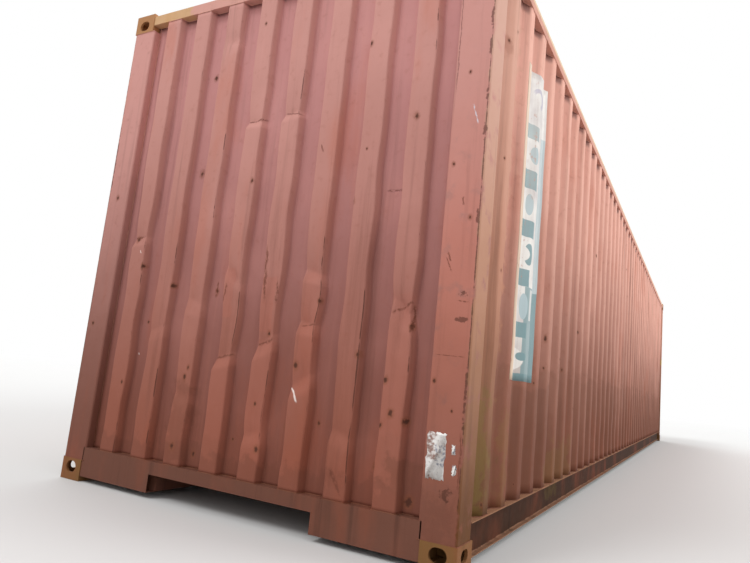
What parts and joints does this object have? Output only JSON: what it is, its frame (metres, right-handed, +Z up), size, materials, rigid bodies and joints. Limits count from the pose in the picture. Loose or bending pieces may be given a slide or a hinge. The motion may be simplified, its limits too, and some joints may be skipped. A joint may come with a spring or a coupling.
{
  "type": "shipping container",
  "caption": "Forty-foot high-cube freight container with corrugated steel walls, cast corners, a plywood floor and closed double doors with locking bars.",
  "frame": {"origin": "middle of the base, on the plane under the bottom corner castings", "axes": "+Z up; +X along the container from its closed front end to its doors; +Y to the left side, seen by someone who looks from the front end to the doors"},
  "size_m": [12.192, 2.438, 2.896],
  "materials": {
    "body_paint": "faded oxide red, matt, with rust",
    "post_paint": "faded red paint with yellow-brown rust at the edges",
    "base_paint": "dirty red-brown paint, matt",
    "floor_wood": "worn plywood",
    "gasket_rubber": "matt black",
    "lock_steel": "dull galvanised steel"
  },
  "bodies": {
    "root": {"corner_casting_front_right_bottom": "post_paint", "corner_casting_front_left_bottom": "post_paint", "corner_casting_rear_right_bottom": "post_paint", "corner_casting_rear_left_bottom": "post_paint", "corner_casting_front_right_top": "post_paint", "corner_casting_front_left_top": "post_paint", "corner_casting_rear_right_top": "post_paint", "corner_casting_rear_left_top": "post_paint", "front_post_right": "post_paint", "front_post_left": "post_paint", "rear_post_right": "body_paint", "rear_post_left": "body_paint", "front_sill": "base_paint", "front_header": "body_paint", "rear_sill": "base_paint", "rear_header": "body_paint", "roof_end_plates": "body_paint", "bottom_rail_right": "base_paint", "bottom_rail_left": "base_paint", "top_rail_right": "body_paint", "top_rail_left": "body_paint", "front_wall": "body_paint", "side_wall_right": "body_paint", "side_wall_left": "body_paint", "roof": "body_paint", "cross_members": "base_paint", "tunnel_outriggers_right": "base_paint", "tunnel_outriggers_left": "base_paint", "tunnel_roof": "base_paint", "tunnel_sides": "base_paint", "plywood_floor": "floor_wood", "door_frame_right": "body_paint", "door_frame_left": "body_paint", "door_panel_right": "body_paint", "door_panel_left": "body_paint", "door_gaskets": "gasket_rubber", "locking_bars_right": "lock_steel", "locking_bars_left": "lock_steel", "bar_brackets": "body_paint", "cam_keepers": "lock_steel", "door_handles": "lock_steel", "handle_catches": "lock_steel", "door_hinges": "body_paint", "hinge_pins": "lock_steel"}
  },
  "joints": []
}
